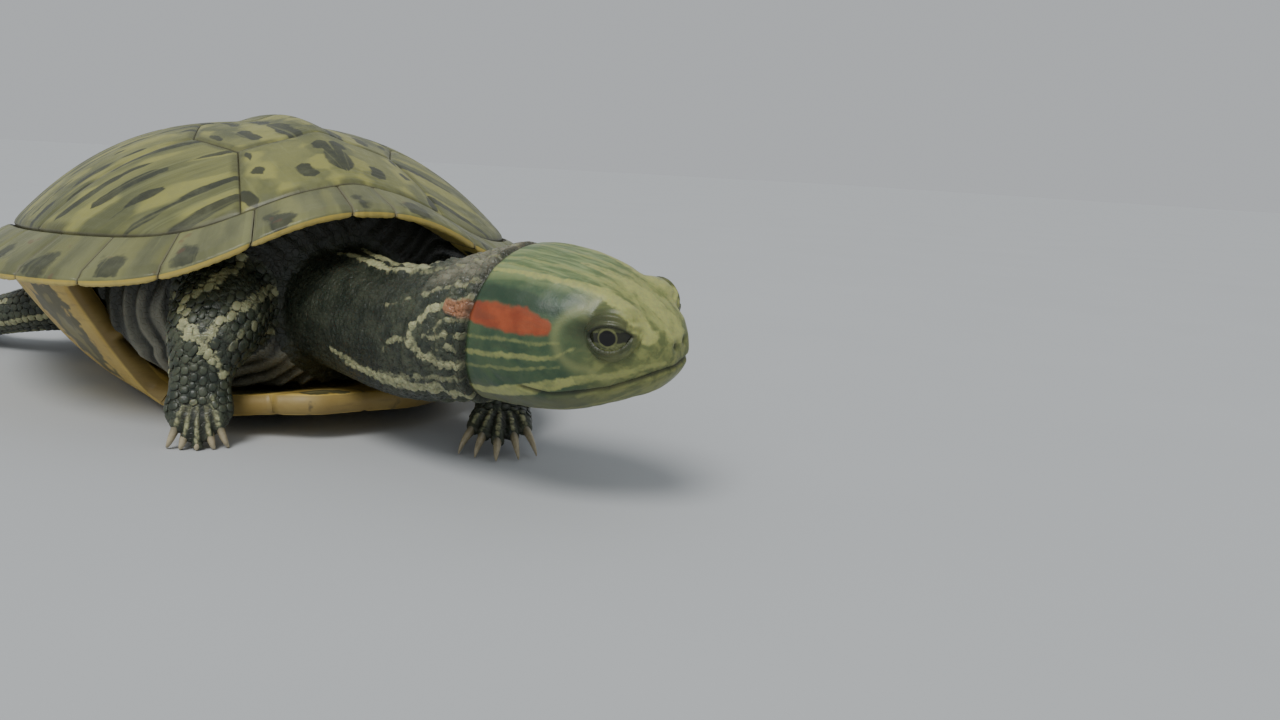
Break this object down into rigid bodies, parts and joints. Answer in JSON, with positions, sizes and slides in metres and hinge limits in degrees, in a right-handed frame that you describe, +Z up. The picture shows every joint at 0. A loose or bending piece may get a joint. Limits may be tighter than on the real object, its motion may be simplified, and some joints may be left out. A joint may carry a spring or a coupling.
{
  "type": "red-eared slider turtle",
  "caption": "Young red-eared slider turtle standing with its neck out and bent to its left: domed olive shell of scutes, yellow plastron, clawed webbed feet and a short tapering tail.",
  "frame": {"origin": "on the floor, under the middle of the bounding box", "axes": "+X towards the front of the shell, +Y towards the animal's left, +Z up"},
  "size_m": [0.1264, 0.0896, 0.0346],
  "materials": {
    "scute": "satin horn, olive with yellow-green bands and dark streaks",
    "plastron": "satin horn, yellow with dark smudges",
    "skin": "fine wet scales, grey-green with pale yellow-green stripes",
    "eye": "wet, grey-green iris with a dark bar through the pupil"
  },
  "bodies": {
    "root": {"nuchal": "scute", "vertebral_1": "scute", "vertebral_2": "scute", "vertebral_3": "scute", "vertebral_4": "scute", "vertebral_5": "scute", "costal_left_1": "scute", "costal_left_2": "scute", "costal_left_3": "scute", "costal_left_4": "scute", "costal_right_1": "scute", "costal_right_2": "scute", "costal_right_3": "scute", "costal_right_4": "scute", "marginal_left_1": "scute", "marginal_left_2": "scute", "marginal_left_3": "scute", "marginal_left_4": "scute", "marginal_left_5": "scute", "marginal_left_6": "scute", "marginal_left_7": "scute", "marginal_left_8": "scute", "marginal_left_9": "scute", "marginal_left_10": "scute", "marginal_left_11": "scute", "marginal_left_12": "scute", "marginal_right_1": "scute", "marginal_right_2": "scute", "marginal_right_3": "scute", "marginal_right_4": "scute", "marginal_right_5": "scute", "marginal_right_6": "scute", "marginal_right_7": "scute", "marginal_right_8": "scute", "marginal_right_9": "scute", "marginal_right_10": "scute", "marginal_right_11": "scute", "marginal_right_12": "scute", "gulars": "plastron", "humerals": "plastron", "pectorals": "plastron", "abdominals": "plastron", "femorals": "plastron", "anals": "plastron", "trunk": "skin", "neck": "skin", "head": "skin", "lower_jaw": "skin", "tail": "skin", "foreleg_left": "skin", "foreleg_right": "skin", "forefoot_left": "skin", "forefoot_right": "skin", "hindleg_left": "skin", "hindleg_right": "skin", "hindfoot_left": "skin", "hindfoot_right": "skin", "eye_left": "eye", "eye_right": "eye"}
  },
  "joints": []
}
